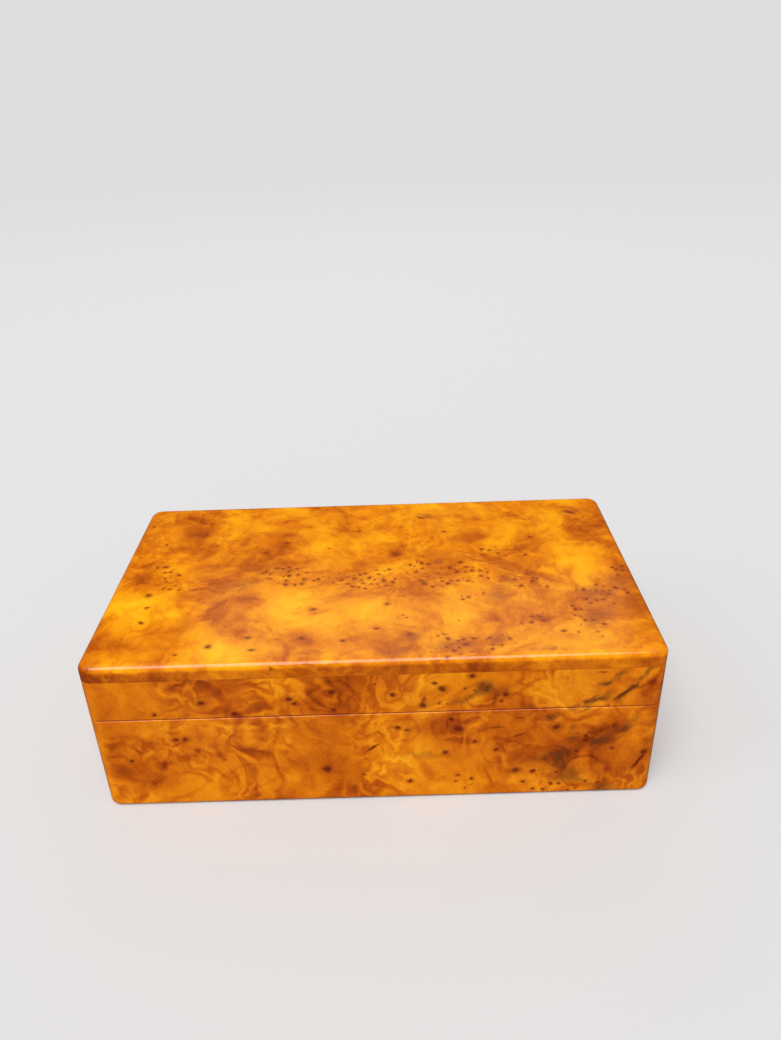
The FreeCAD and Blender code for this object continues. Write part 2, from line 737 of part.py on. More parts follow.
def drill_pin():
    """The post that the key's barrel turns on, riveted through the lock plate."""
    return rod(
        KEY_BARREL_RADIUS - DRILL_PIN_CLEARANCE,
        Vector(LOCK_X, INSIDE_FRONT, KEYHOLE_Z),
        Vector(LOCK_X, CASE_FACE, KEYHOLE_Z),
    )


def lock_bolt():
    """The sliding bolt. The key's bit pushes in its talon, and its tongue enters the staple."""
    y0 = BOLT_Y - BOLT_THICKNESS / 2
    y1 = BOLT_Y + BOLT_THICKNESS / 2
    bolt_foot = BOLT_TOP - BOLT_HEIGHT
    middle = BOLT_TOP - BOLT_HEIGHT / 2
    body = block(BOLT_LEFT, BOLT_RIGHT, y0, y1, bolt_foot, BOLT_TOP)
    tongue = block(
        BOLT_RIGHT,
        BOLT_RIGHT + BOLT_TONGUE,
        BOLT_Y - BOLT_TONGUE_THICKNESS / 2,
        BOLT_Y + BOLT_TONGUE_THICKNESS / 2,
        middle - BOLT_TONGUE_HEIGHT / 2,
        middle + BOLT_TONGUE_HEIGHT / 2,
    )
    talon_x = LOCK_X - BOLT_THROW / 2
    talon = block(
        talon_x - TALON_WIDTH / 2,
        talon_x + TALON_WIDTH / 2,
        y0,
        y1,
        bolt_foot,
        bolt_foot + TALON_DEPTH,
    )
    return body.fuse(tongue).removeSplitter().cut(talon)


def lock_leaf_spring():
    """The bent strip over the bolt that holds it where the key leaves it."""
    root = LOCK_X - LOCK_CASE_WIDTH / 2 + LOCK_CASE_WALL
    foot = BOLT_TOP + SPRING_CLEARANCE
    root_z = RIM - SHEET - 2 * SPRING_STRIP
    bend_z = (foot + root_z) / 2
    line = [
        (root, root_z),
        (LOCK_X - SPRING_BEND_LEFT, bend_z),
        (LOCK_X - SPRING_FOOT_LEFT, foot),
        (LOCK_X - SPRING_FOOT_RIGHT, foot),
        (LOCK_X + SPRING_TIP_RIGHT, bend_z),
    ]
    outline = line + [(x, z + SPRING_STRIP) for x, z in reversed(line)]
    return prism_along_y(outline, BOLT_Y - BOLT_THICKNESS / 2, BOLT_Y + BOLT_THICKNESS / 2)


def link_plate():
    """The brass plate under the lid's front rail, with the staple that the bolt enters."""
    bolt_middle = BOLT_TOP - BOLT_HEIGHT / 2
    plate = block(
        LOCK_X - LINK_WIDTH / 2,
        LOCK_X + LINK_WIDTH / 2,
        LINK_FRONT,
        LINK_BACK,
        LID_FOOT,
        LID_FOOT + SHEET,
    )
    half_window = BOLT_TONGUE_HEIGHT / 2 + STAPLE_WINDOW_CLEARANCE
    staple = staple_block(0, 0, 0, bolt_middle - half_window - STAPLE_FOOT, LID_FOOT)
    window = block(
        STAPLE_X - STAPLE_THICKNESS,
        STAPLE_X + STAPLE_THICKNESS,
        BOLT_Y - BOLT_TONGUE_THICKNESS / 2 - STAPLE_WINDOW_CLEARANCE,
        BOLT_Y + BOLT_TONGUE_THICKNESS / 2 + STAPLE_WINDOW_CLEARANCE,
        bolt_middle - half_window,
        bolt_middle + half_window,
    )
    solid = plate.fuse(staple).removeSplitter()
    return solid.cut([window, *link_screws(False)])


# --- lid --------------------------------------------------------------------------
def lid_top():
    """The solid burl top, glued over the four rails."""
    return block(LEFT, RIGHT, FRONT, BACK, LID_TOP_UNDERSIDE, TOP).common(LID_CASE)


def lid_front_rail():
    """The front rail of the lid, over the panel and the front wall, recessed for the link plate."""
    rail = block(LEFT, RIGHT, FRONT, INSIDE_FRONT, LID_FOOT, LID_TOP_UNDERSIDE)
    seat = block(
        LOCK_X - LINK_WIDTH / 2,
        LOCK_X + LINK_WIDTH / 2,
        LINK_FRONT,
        LINK_BACK,
        LID_FOOT - SHEET,
        LID_FOOT + SHEET,
    )
    cutters = [seat, *link_screws(False), eased_mouth(LID_FOOT, 1)]
    return rail.common(LID_CASE).cut(cutters)


def lid_back_rail():
    """The back rail of the lid, let in for the hinges and bevelled for the stop."""
    rail = block(LEFT, RIGHT, INSIDE_BACK, BACK, LID_FOOT, LID_TOP_UNDERSIDE)
    cutters = [stop_bevel(1), *hinge_mortises(1), *hinge_screws(LID_FOOT, 1, False)]
    return rail.common(LID_CASE).cut([*cutters, eased_mouth(LID_FOOT, 1)])


def lid_end_rail(outer, inner):
    """A short rail of the lid between the front and back rails."""
    low, high = sorted((outer, inner))
    rail = block(low, high, INSIDE_FRONT, INSIDE_BACK, LID_FOOT, LID_TOP_UNDERSIDE)
    return rail.common(LID_CASE).cut(eased_mouth(LID_FOOT, 1))


# --- the whole box ----------------------------------------------------------------
def all_pieces():
    """Every piece by its node name: a solid, or a list of separate solids."""
    pieces = {
        "front_wall": front_wall(),
        "back_wall": back_wall(),
        "left_end_wall": end_wall(LEFT, INSIDE_LEFT),
        "right_end_wall": end_wall(RIGHT, INSIDE_RIGHT),
        "bottom_board": bottom_board(),
        "floor_board": floor_board(),
        "panel_stop_pin": panel_stop_pin(),
        "runner_stop_pin": runner_stop_pin(),
        "lock_plate": lock_plate(),
        "lock_case": lock_case(),
        "lock_drill_pin": drill_pin(),
        "lock_leaf_spring": lock_leaf_spring(),
        "lock_pins": lock_pins(),
        "lock_bolt": lock_bolt(),
        "hinge_base_screws": hinge_screws(RIM, -1),
        "hinge_lid_screws": hinge_screws(LID_FOOT, 1),
        "link_plate": link_plate(),
        "link_plate_screws": link_screws(),
        "lid_top": lid_top(),
        "lid_front_rail": lid_front_rail(),
        "lid_back_rail": lid_back_rail(),
        "lid_left_rail": lid_end_rail(LEFT, INSIDE_LEFT),
        "lid_right_rail": lid_end_rail(RIGHT, INSIDE_RIGHT),
        "front_panel": front_panel(),
        "front_panel_batten": front_panel_batten(),
        "key_runner": key_runner(),
        "key": key(),
    }
    for side, x in HINGE_PLACES.items():
        pieces[f"{side}_hinge_base_leaf"] = hinge_leaf(x, -1)
        pieces[f"{side}_hinge_lid_leaf"] = hinge_leaf(x, 1)
        pieces[f"{side}_hinge_pin"] = hinge_pin(x)
    return pieces


def save(name, piece):
    """Writes one node as a STEP file and prints its size."""
    shape = Part.makeCompound(piece) if isinstance(piece, list) else piece
    shape.exportStep(os.path.join("parts", f"{name}.step"))
    box = shape.BoundBox
    print(
        f"{name}: {len(shape.Solids)} solids, {shape.Volume:.1f} mm3, "
        f"{box.XLength:.2f} x {box.YLength:.2f} x {box.ZLength:.2f} mm, valid {shape.isValid()}"
    )


os.makedirs("parts", exist_ok=True)
for node_name, node_piece in all_pieces().items():
    save(node_name, node_piece)
print(
    f"panel travel {PANEL_TRAVEL:.2f}, runner travel {RUNNER_TRAVEL:.2f}, "
    f"bolt throw {BOLT_THROW:.2f}, hinge axis y {HINGE_Y:.3f} z {HINGE_Z:.3f}, "
    f"lid opens {OPEN_ANGLE:.0f} degrees"
)
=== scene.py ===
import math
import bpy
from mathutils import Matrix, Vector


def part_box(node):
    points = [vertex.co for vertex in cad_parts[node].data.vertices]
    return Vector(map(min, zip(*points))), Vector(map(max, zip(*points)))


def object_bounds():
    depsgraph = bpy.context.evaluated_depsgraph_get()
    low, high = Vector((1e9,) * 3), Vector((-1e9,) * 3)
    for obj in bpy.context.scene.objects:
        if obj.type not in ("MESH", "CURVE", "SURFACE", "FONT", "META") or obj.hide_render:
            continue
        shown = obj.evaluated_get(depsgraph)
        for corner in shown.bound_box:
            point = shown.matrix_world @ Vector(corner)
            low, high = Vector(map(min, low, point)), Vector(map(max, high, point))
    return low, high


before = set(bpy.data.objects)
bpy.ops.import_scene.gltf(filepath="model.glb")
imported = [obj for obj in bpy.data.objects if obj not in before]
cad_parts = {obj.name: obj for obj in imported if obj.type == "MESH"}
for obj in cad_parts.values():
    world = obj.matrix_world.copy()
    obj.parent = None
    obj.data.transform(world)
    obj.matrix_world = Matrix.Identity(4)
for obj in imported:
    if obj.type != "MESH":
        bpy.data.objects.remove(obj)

# Looks of the burl puzzle box: solid amber burl under gloss lacquer, with a brass lock and hinges.
# Everything is in metres in the part's own frame, except the wood's figure, which is in millimetres.
# The sections follow the order in which the box is put together.

from types import SimpleNamespace

import bpy
from mathutils import Matrix, Vector

cad_low, cad_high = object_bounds()


# ---------------------------------------------------------------- bottom board and floor board
# Two plain boards of the same tree, cut clear of the burl: straight grain along the box, sanded
# and waxed, not lacquered. The thick one is what the box stands on; the thin one is glued over it.

MM_PER_METRE = 1000.0
RING_STRETCH = (0.02, 0.32, 0.32)
PORE_STRETCH = (0.12, 2.6, 2.6)
RING_TURNS = 42.0
PORE_DEPTH = 0.00005


def put(tree, kind, inputs=None, **settings):
    """Adds a shader node. inputs maps sockets to plain values or to outputs that feed them."""
    node = tree.nodes.new(kind)
    for setting, value in settings.items():
        setattr(node, setting, value)
    for socket, value in (inputs or {}).items():
        if isinstance(value, bpy.types.NodeSocket):
            tree.links.new(value, node.inputs[socket])
        else:
            node.inputs[socket].default_value = value
    return node


def maths(tree, operation, *values):
    """One arithmetic node."""
    return put(tree, "ShaderNodeMath", dict(enumerate(values)), operation=operation).outputs[0]


def vectors(tree, operation, first, second=(0, 0, 0)):
    """One vector arithmetic node; its length comes out where that is what it gives."""
    node = put(tree, "ShaderNodeVectorMath", {0: first, 1: second}, operation=operation)
    return node.outputs["Value" if operation == "LENGTH" else "Vector"]


def scaled(tree, vector, factor):
    """A vector times a number."""
    return put(tree, "ShaderNodeVectorMath", {0: vector, "Scale": factor}, operation="SCALE").outputs[0]


def noise(tree, where, size, detail=2.0, roughness=0.5):
    """Cloudy noise whose largest blotches are about size millimetres."""
    settings = {"Vector": where, "Scale": 1.0 / size, "Detail": detail, "Roughness": roughness}
    return put(tree, "ShaderNodeTexNoise", settings)


def soften(tree, value, start, end, low=0.0, high=1.0):
    """A smooth step from low at start to high at end."""
    settings = {"Value": value, "From Min": start, "From Max": end, "To Min": low, "To Max": high}
    return put(tree, "ShaderNodeMapRange", settings, interpolation_type="SMOOTHSTEP").outputs[0]


def dye(tree, amount, under, over):
    """Lays one colour over another."""
    node = put(tree, "ShaderNodeMix", {0: amount, 6: under, 7: over}, data_type="RGBA")
    return node.outputs[2]


def rub_in(tree, mask, strength, under, over):
    """Lays one colour over another where a mask says, at a strength."""
    return dye(tree, maths(tree, "MULTIPLY", mask, strength), under, over)


def tones(tree, amount, stops):
    """A colour ramp; stops are (place, red, green, blue), the first and the last ones first."""
    ramp = put(tree, "ShaderNodeValToRGB", {0: amount})
    for index, (place, *colour) in enumerate(stops):
        if index < 2:
            stop = ramp.color_ramp.elements[index]
            stop.position = place
        else:
            stop = ramp.color_ramp.elements.new(place)
        stop.color = (*colour, 1.0)
    return ramp.outputs[0]


def jog(tree, where, size, reach, detail=2.0):
    """Pushes points about by up to half of reach, so that what follows meanders."""
    cloud = noise(tree, where, size, detail).outputs["Color"]
    push = vectors(tree, "SUBTRACT", cloud, (0.5, 0.5, 0.5))
    return vectors(tree, "ADD", where, scaled(tree, push, reach))


def wood_place(tree, cut_from=(0, 0, 0)):
    """Millimetres in the box's frame, moved to where the board was cut from the tree."""
    here = put(tree, "ShaderNodeTexCoord").outputs["Object"]
    return vectors(tree, "ADD", scaled(tree, here, MM_PER_METRE), cut_from)


def finish_of(name):
    """A new material with one main shader."""
    material = bpy.data.materials.new(name)
    material.use_nodes = True
    tree = material.node_tree
    return material, tree, tree.nodes["Principled BSDF"]


def raise_surface(tree, shader, height, depth):
    """Bumps the surface by a height map, depth in metres from 0 to 1."""
    bump = put(tree, "ShaderNodeBump", {"Height": height, "Distance": depth, "Strength": 1.0})
    tree.links.new(bump.outputs[0], shader.inputs["Normal"])


def wear(material, *nodes):
    """Puts a material on CAD nodes in place of the plain one they came with."""
    for node in nodes:
        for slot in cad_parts[node].material_slots:
            slot.material = material


def plain_board(name, cut_from, pale, deep, sheen_roughness):
    """Straight-grained board: growth rings and fine pores that run along the box."""
    material, tree, shader = finish_of(name)
    where = wood_place(tree, cut_from)
    drift = jog(tree, where, 60.0, 5.0)
    rings = noise(tree, vectors(tree, "MULTIPLY", drift, RING_STRETCH), 1.0, 3.0, 0.55).outputs[0]
    pores = noise(tree, vectors(tree, "MULTIPLY", where, PORE_STRETCH), 1.0, 3.0, 0.6).outputs[0]
    figure = maths(tree, "SINE", maths(tree, "MULTIPLY", rings, RING_TURNS))
    tone = maths(tree, "MULTIPLY_ADD", figure, 0.12, rings)
    tone = maths(tree, "MULTIPLY_ADD", pores, 0.35, tone)
    middle = [(a + b) / 2 for a, b in zip(pale, deep)]
    colour = tones(tree, tone, [(0.35, *deep), (1.0, *pale), (0.68, *middle)])
    tree.links.new(colour, shader.inputs["Base Color"])
    gloss = soften(tree, pores, 0.3, 0.7, sheen_roughness + 0.08, sheen_roughness - 0.05)
    tree.links.new(gloss, shader.inputs["Roughness"])
    shader.inputs["Specular IOR Level"].default_value = 0.35
    raise_surface(tree, shader, pores, PORE_DEPTH)
    return material


bottom_wood = plain_board(
    "plain wood bottom", cut_from=(400, 0, 30), pale=(0.52, 0.27, 0.09), deep=(0.27, 0.11, 0.03),
    sheen_roughness=0.46)
floor_wood = plain_board(
    "plain wood floor", cut_from=(0, 300, 90), pale=(0.60, 0.29, 0.085), deep=(0.36, 0.135, 0.030),
    sheen_roughness=0.50)
wear(bottom_wood, "bottom_board")
wear(floor_wood, "floor_board")


# ---------------------------------------------------------------- end walls and back wall
# Solid burl, cut from one thick slab: the figure swirls about clusters of small dark eyes. The
# outside is sanded fine and lacquered to a high gloss; the inside keeps a soft rubbed finish.

EYE_BROWN = (0.135, 0.012, 0.0015, 1.0)
EYE_HALO = (0.30, 0.042, 0.002, 1.0)
SMOKE_BROWN = (0.13, 0.032, 0.004, 1.0)
GLUE_BROWN = (0.30, 0.075, 0.004, 1.0)
SIDE_TONES = [
    (0.0, 0.20, 0.028, 0.0008),
    (1.0, 0.95, 0.40, 0.010),
    (0.25, 0.43, 0.075, 0.0010),
    (0.45, 0.61, 0.142, 0.0013),
    (0.60, 0.72, 0.200, 0.0018),
    (0.80, 0.85, 0.295, 0.0040),
]
LACQUER_ROUGHNESS = 0.13
RUBBED_ROUGHNESS = 0.42
RIPPLE_DEPTH = 0.00005

THROUGH_THE_BOARD = 220.0
MOSTLY_FACING = 0.7
EYE_SPACING = 2.4
EYE_HEIGHT_TO_WIDTH = 0.8
NO_EYE_NEAR = 9.0
CURL_TURNS = 46.0
FIBRE_TURNS = 260.0
EDGE_ROUNDING = 1.0
EDGE_FADE = 1.2
LINING_START = 0.3
LINING_FULL = 0.1
FOOT_START = 1.0
FOOT_FULL = 1.5
PARTING_LIFT = 0.1

hollow_low = Vector(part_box("floor_board")[0]) * MM_PER_METRE
hollow_high = Vector(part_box("floor_board")[1]) * MM_PER_METRE
glue_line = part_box("lid_front_rail")[1].z * MM_PER_METRE
parting_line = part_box("lid_front_rail")[0].z * MM_PER_METRE + PARTING_LIFT
top_edge = cad_high.z * MM_PER_METRE - EDGE_ROUNDING


def oval(tree, where, face, across, up, wide, high, turn=0.0):
    """Distance from the middle of an oval drawn on a board's face, 1 at its rim."""
    first = "xyz".index(face[0])
    second = "xyz".index(face[1])
    through = 3 - first - second
    place, size, spin = [0.0] * 3, [THROUGH_THE_BOARD] * 3, [0.0] * 3
    place[first], place[second] = across, up
    size[first], size[second] = wide, high
    spin[through] = math.radians(-turn if face == "xz" else turn)
    settings = {"Vector": where, "Location": place, "Rotation": spin, "Scale": size}
    mapped = put(tree, "ShaderNodeMapping", settings, vector_type="TEXTURE").outputs[0]
    return vectors(tree, "LENGTH", mapped)


def gather(tree, operation, start, outputs):
    """Joins outputs to a start value one by one, as they are made."""
    total = start
    for output in outputs:
        total = maths(tree, operation, total, output)
    return total


def blots(tree, operation, start, where, face, marks, rim, middle):
    """Joins soft ovals to a start value; marks are (across, up, wide, high, turn, strength)."""
    return gather(tree, operation, start, (
        soften(tree, oval(tree, where, face, across, up, wide, high, turn), rim, middle, 0.0, strength)
        for across, up, wide, high, turn, strength in marks))


def gap(tree, value, line):
    """How far a value is from a line, on either side of it."""
    return maths(tree, "ABSOLUTE", maths(tree, "SUBTRACT", value, line))


def face_place(tree, where):
    """Across and up on whichever face this is: xy on top, xz in front and behind, yz on the ends."""
    normal = put(tree, "ShaderNodeTexCoord").outputs["Normal"]
    facing = put(tree, "ShaderNodeSeparateXYZ", {0: vectors(tree, "ABSOLUTE", normal)})
    here = put(tree, "ShaderNodeSeparateXYZ", {0: where})
    level = maths(tree, "GREATER_THAN", facing.outputs[2], MOSTLY_FACING)
    endways = maths(tree, "GREATER_THAN", facing.outputs[0], MOSTLY_FACING)
    along, deep, tall = here.outputs
    across = put(tree, "ShaderNodeMix", {0: endways, 2: along, 3: deep}).outputs[0]
    up = put(tree, "ShaderNodeMix", {0: level, 2: tall, 3: deep}).outputs[0]
    return put(tree, "ShaderNodeCombineXYZ", {0: across, 1: up}).outputs[0]


def indoors(tree, where):
    """1 inside the box's hollow and on its lining faces, 0 on the outside."""
    apart = put(tree, "ShaderNodeSeparateXYZ", {0: where})
    walls = [
        (0, hollow_low.x - LINING_START, hollow_low.x - LINING_FULL),
        (0, hollow_high.x + LINING_START, hollow_high.x + LINING_FULL),
        (1, hollow_low.y - LINING_START, hollow_low.y - LINING_FULL),
        (1, hollow_high.y + LINING_START, hollow_high.y + LINING_FULL),
        (2, glue_line + LINING_START, glue_line + LINING_FULL),
        (2, FOOT_START, FOOT_FULL),
    ]
    sides = (soften(tree, apart.outputs[axis], outside, inside) for axis, outside, inside in walls)
    return gather(tree, "MULTIPLY", 1.0, sides)


def figure_places(tree, cut_from):
    """A point's place on the box, where it was in the tree, and both pushed about: drift is where
    pushed far, and near and loose are place pushed a little and more."""
    place = wood_place(tree)
    where = vectors(tree, "ADD", place, cut_from)
    drift = jog(tree, jog(tree, where, 30.0, 26.0), 9.0, 6.5)
    near = jog(tree, place, 2.2, 1.1)
    loose = jog(tree, jog(tree, place, 16.0, 9.0), 4.5, 4.0, 3.0)
    return SimpleNamespace(place=place, where=where, drift=drift, near=near, loose=loose)


def eye_marks(tree, at, face, crowd, clusters, eyes):
    """Cores and halos of the eyes: small ones of the wood's own, crowded where the clusters are,
    and the ones that are listed."""
    cells_at = jog(tree, jog(tree, face_place(tree, at.where), 5.0, 2.4), 0.9, 0.9)
    settings = {"Vector": cells_at, "Scale": 1 / EYE_SPACING}
    cells = put(tree, "ShaderNodeTexVoronoi", settings, voronoi_dimensions="2D")
    lots = put(tree, "ShaderNodeSeparateColor", {0: cells.outputs["Color"]}).outputs
    share = soften(tree, noise(tree, at.where, 24.0, 2.0).outputs[0], 0.50, 0.72, 0.0, crowd)
    share = gather(tree, "MAXIMUM", share, (
        soften(tree, oval(tree, at.loose, face, across, up, wide, high), 1.05, 0.6, 0.0, amount)
        for across, up, wide, high, amount in clusters))
    chosen = maths(tree, "LESS_THAN", lots[0], share)
    size = maths(tree, "MULTIPLY_ADD", lots[1], 0.22, 0.06)
    ring = maths(tree, "DIVIDE", cells.outputs["Distance"], size)
    core = maths(tree, "MULTIPLY", soften(tree, ring, 1.25, 0.4), chosen)
    halo = maths(tree, "MULTIPLY", soften(tree, ring, 2.8, 0.8), chosen)
    rim = gather(tree, "MINIMUM", NO_EYE_NEAR, (
        oval(tree, at.near, face, across, up, radius, radius * EYE_HEIGHT_TO_WIDTH)
        for across, up, radius in eyes))
    core = maths(tree, "MAXIMUM", core, soften(tree, rim, 1.3, 0.5))
    halo = maths(tree, "MAXIMUM", halo, soften(tree, rim, 2.9, 0.9))
    return core, halo


def ground_tone(tree, at, face, halo, curl, mottle, shades, swirls):
    """How pale the ground is: clouds, curls that follow them and ring the eyes, and fine fibre."""
    clouds = noise(tree, at.drift, 19.0, 7.0, 0.56).outputs[0]
    tone = maths(tree, "MULTIPLY_ADD", clouds, 1.5, -0.25)
    tone = blots(tree, "ADD", tone, at.loose, face, shades, 1.35, 0.2)
    rims = (
        (gap(tree, oval(tree, at.loose, face, across, up, wide, high, turn), 1.0), shift)
        for across, up, wide, high, turn, shift in swirls)
    tone = gather(tree, "ADD", tone, (soften(tree, rim, 0.22, 0.03, 0.0, shift) for rim, shift in rims))

    flow = maths(tree, "MULTIPLY_ADD", halo, 0.05, noise(tree, at.drift, 15.0, 3.0, 0.5).outputs[0])
    depth = soften(tree, noise(tree, at.where, 13.0, 2.0).outputs[0], 0.34, 0.62, 0.0, curl)
    curls = maths(tree, "SINE", maths(tree, "MULTIPLY", flow, CURL_TURNS))
    tone = maths(tree, "MULTIPLY_ADD", curls, depth, tone)
    blotches = maths(tree, "SUBTRACT", noise(tree, at.loose, 5.5, 4.0, 0.6).outputs[0], 0.5)
    tone = maths(tree, "MULTIPLY_ADD", blotches, mottle, tone)
    smudges = noise(tree, jog(tree, at.drift, 5.0, 4.0), 8.0, 3.0, 0.55).outputs[0]
    smudges = soften(tree, smudges, 0.30, 0.54, -0.32, 0.0)
    tone = maths(tree, "MULTIPLY_ADD", smudges, mottle, tone)
    fibres = maths(tree, "SINE", maths(tree, "MULTIPLY", flow, FIBRE_TURNS))
    tone = maths(tree, "MULTIPLY_ADD", fibres, 0.022, tone)
    fine = noise(tree, at.near, 0.8, 3.0, 0.65).outputs[0]
    return maths(tree, "MULTIPLY_ADD", fine, 0.26, maths(tree, "SUBTRACT", tone, 0.13))


def lacquer(tree, shader, place):
    """Gloss lacquer outside and a rubbed finish inside, with the slow ripple of a hand-rubbed coat."""
    cloud = noise(tree, place, 30.0, 3.0).outputs[0]
    gloss = soften(tree, cloud, 0.4, 0.7, LACQUER_ROUGHNESS, LACQUER_ROUGHNESS + 0.05)
    duller = RUBBED_ROUGHNESS - LACQUER_ROUGHNESS
    rubbed = maths(tree, "MULTIPLY_ADD", indoors(tree, place), duller, gloss)
    tree.links.new(rubbed, shader.inputs["Roughness"])
    shader.inputs["IOR"].default_value = 1.45
    shader.inputs["Specular IOR Level"].default_value = 0.42
    raise_surface(tree, shader, noise(tree, place, 14.0, 2.0).outputs[0], RIPPLE_DEPTH)


def burl(name, cut_from, face, ramp, crowd=0.25, curl=0.12, mottle=0.30, eye=EYE_BROWN,
         smoke=SMOKE_BROWN, edge_shift=0.0, shades=(), swirls=(), clusters=(), smokes=(),
         streaks=(), eyes=()):
    """Burl figure. Every list is drawn on the board's face in millimetres of the box's frame:
    shades and swirls (across, up, wide, high, turn, shift of tone), smokes and streaks (across, up,
    wide, high, turn, strength), clusters (across, up, wide, high, share of eyes), eyes (across, up,
    radius). curl and mottle are how far the tone swings, crowd is the share of eyes in the wood's
    own crowded spots, and edge_shift is how much darker the wood is below its rounded top edge."""
    material, tree, shader = finish_of(name)
    at = figure_places(tree, cut_from)
    core, halo = eye_marks(tree, at, face, crowd, clusters, eyes)
    tone = ground_tone(tree, at, face, halo, curl, mottle, shades, swirls)
    height = put(tree, "ShaderNodeSeparateXYZ", {0: at.place}).outputs[2]
    if edge_shift:
        edge = soften(tree, height, top_edge, top_edge - EDGE_FADE, 0.0, edge_shift)
        tone = maths(tree, "SUBTRACT", tone, edge)
    colour = tones(tree, tone, ramp)

    # smoky mineral stain, dark flecks and eyes
    grain = soften(tree, noise(tree, at.drift, 4.0, 3.0, 0.6).outputs[0], 0.28, 0.54)
    stain = blots(tree, "MAXIMUM", 0.0, at.loose, face, smokes, 1.2, 0.1)
    colour = rub_in(tree, stain, grain, colour, smoke)
    fleck = blots(tree, "MAXIMUM", 0.0, at.near, face, streaks, 1.15, 0.3)
    colour = rub_in(tree, fleck, maths(tree, "MULTIPLY_ADD", grain, 0.5, 0.5), colour, eye)
    colour = rub_in(tree, halo, 0.5, colour, EYE_HALO)
    colour = rub_in(tree, core, 0.88, colour, eye)

    # the line of glue under the top board, and painted shade of the gap along the lid's foot
    seam = soften(tree, gap(tree, height, glue_line), 0.18, 0.04)
    colour = rub_in(tree, seam, 0.55, colour, GLUE_BROWN)
    # painted shade: a dark line on the lid's foot where the gap to the base lies in shadow
    parting_shade = soften(tree, gap(tree, height, parting_line), 0.34, 0.12)
    colour = rub_in(tree, parting_shade, 0.62, colour, eye)
    tree.links.new(colour, shader.inputs["Base Color"])
    lacquer(tree, shader, at.place)
    return material


left_burl = burl(
    "burl left end", cut_from=(160, 90, 40), face="yz", ramp=SIDE_TONES, crowd=0.30,
    swirls=[(-18, 20, 8, 6, 20, -0.14), (16, 14, 9, 6, -30, -0.14), (4, 36, 10, 5, 10, -0.10)],
    clusters=[(-12, 22, 9, 6, 0.4), (18, 12, 8, 7, 0.35), (2, 40, 12, 4, 0.35)],
    smokes=[(-20, 14, 9, 5, 30, 0.6), (24, 26, 10, 5, -20, 0.6)],
    streaks=[(8, 18, 5, 0.7, 35, 0.8), (-22, 30, 4, 0.6, 50, 0.7)],
    eyes=[(-8, 25, 0.9), (14, 9, 1.0), (27, 19, 0.8), (-28, 11, 0.9), (5, 34, 0.8)],
)
right_burl = burl(
    "burl right end", cut_from=(300, 20, 75), face="yz", ramp=SIDE_TONES, crowd=0.30,
    swirls=[(-24, 18, 9, 7, 0, -0.14), (12, 22, 8, 6, 40, -0.12), (30, 12, 7, 6, 0, -0.12)],
    clusters=[(-22, 20, 9, 8, 0.35), (14, 28, 9, 6, 0.35), (4, 8, 12, 4, 0.3)],
    smokes=[(-30, 22, 8, 7, 40, 0.8), (10, 15, 10, 5, 10, 0.5), (26, 34, 8, 5, 0, 0.5)],
    streaks=[(-26, 12, 4, 0.7, 60, 0.9), (20, 24, 4, 0.6, 25, 0.7), (-10, 36, 3, 0.5, 15, 0.6)],
    eyes=[(-18, 26, 1.0), (6, 20, 0.8), (20, 10, 1.1), (31, 27, 0.8), (-5, 41, 0.8)],
)
back_burl = burl(
    "burl back board", cut_from=(60, 200, 120), face="xz", ramp=SIDE_TONES, crowd=0.25,
    shades=[(-45, 18, 26, 12, 10, -0.08), (10, 26, 30, 10, 0, 0.08), (55, 16, 22, 12, -15, -0.08)],
    swirls=[
        (-48, 20, 9, 7, 0, -0.14), (-20, 26, 8, 6, 30, -0.12), (24, 18, 10, 7, -20, -0.14),
        (58, 26, 8, 6, 0, -0.12),
    ],
    clusters=[
        (-50, 18, 12, 7, 0.35), (8, 12, 14, 5, 0.25), (44, 26, 12, 8, 0.35), (-12, 38, 16, 4, 0.3),
    ],
    smokes=[(-38, 26, 10, 5, 20, 0.6), (30, 16, 12, 6, -10, 0.6), (62, 30, 8, 6, 30, 0.6)],
    streaks=[(-20, 20, 5, 0.7, 20, 0.8), (50, 12, 5, 0.7, 40, 0.8), (18, 30, 4, 0.6, -25, 0.6)],
    eyes=[
        (-60, 24, 0.9), (-33, 14, 1.0), (-6, 26, 0.8), (22, 22, 1.0), (38, 35, 0.8), (66, 18, 1.1),
    ],
)
wear(left_burl, "left_end_wall", "lid_left_rail")
wear(right_burl, "right_end_wall", "lid_right_rail")
wear(back_burl, "back_wall", "lid_back_rail", "key_runner")


# ---------------------------------------------------------------- inner front wall
# The fixed wall that the sliding panel hides: burl again, planed flat, with the keyhole cut
# through it and a dovetail groove along its foot. It has the same finish as the end walls.

wall_burl = burl(
    "burl inner front wall", cut_from=(20, 340, 60), face="xz", ramp=SIDE_TONES, crowd=0.22,
    clusters=[(-20, 20, 14, 6, 0.3), (46, 22, 12, 6, 0.35)],
    smokes=[(-58, 14, 9, 5, 20, 0.5), (26, 25, 12, 4, -10, 0.5)],
    eyes=[(-40, 24, 0.8), (4, 22, 0.9), (33, 18, 0.8)],
)
wear(wall_burl, "front_wall")


# ---------------------------------------------------------------- lock, hinges, screws and stop pins
# Small brass fittings, cast or cut from sheet, filed and let into the wood: brushed along their
# length and browned by age in soft patches. The hinge pins, drill pin and leaf spring are steel.

SCRATCH_DEPTH = 0.000012


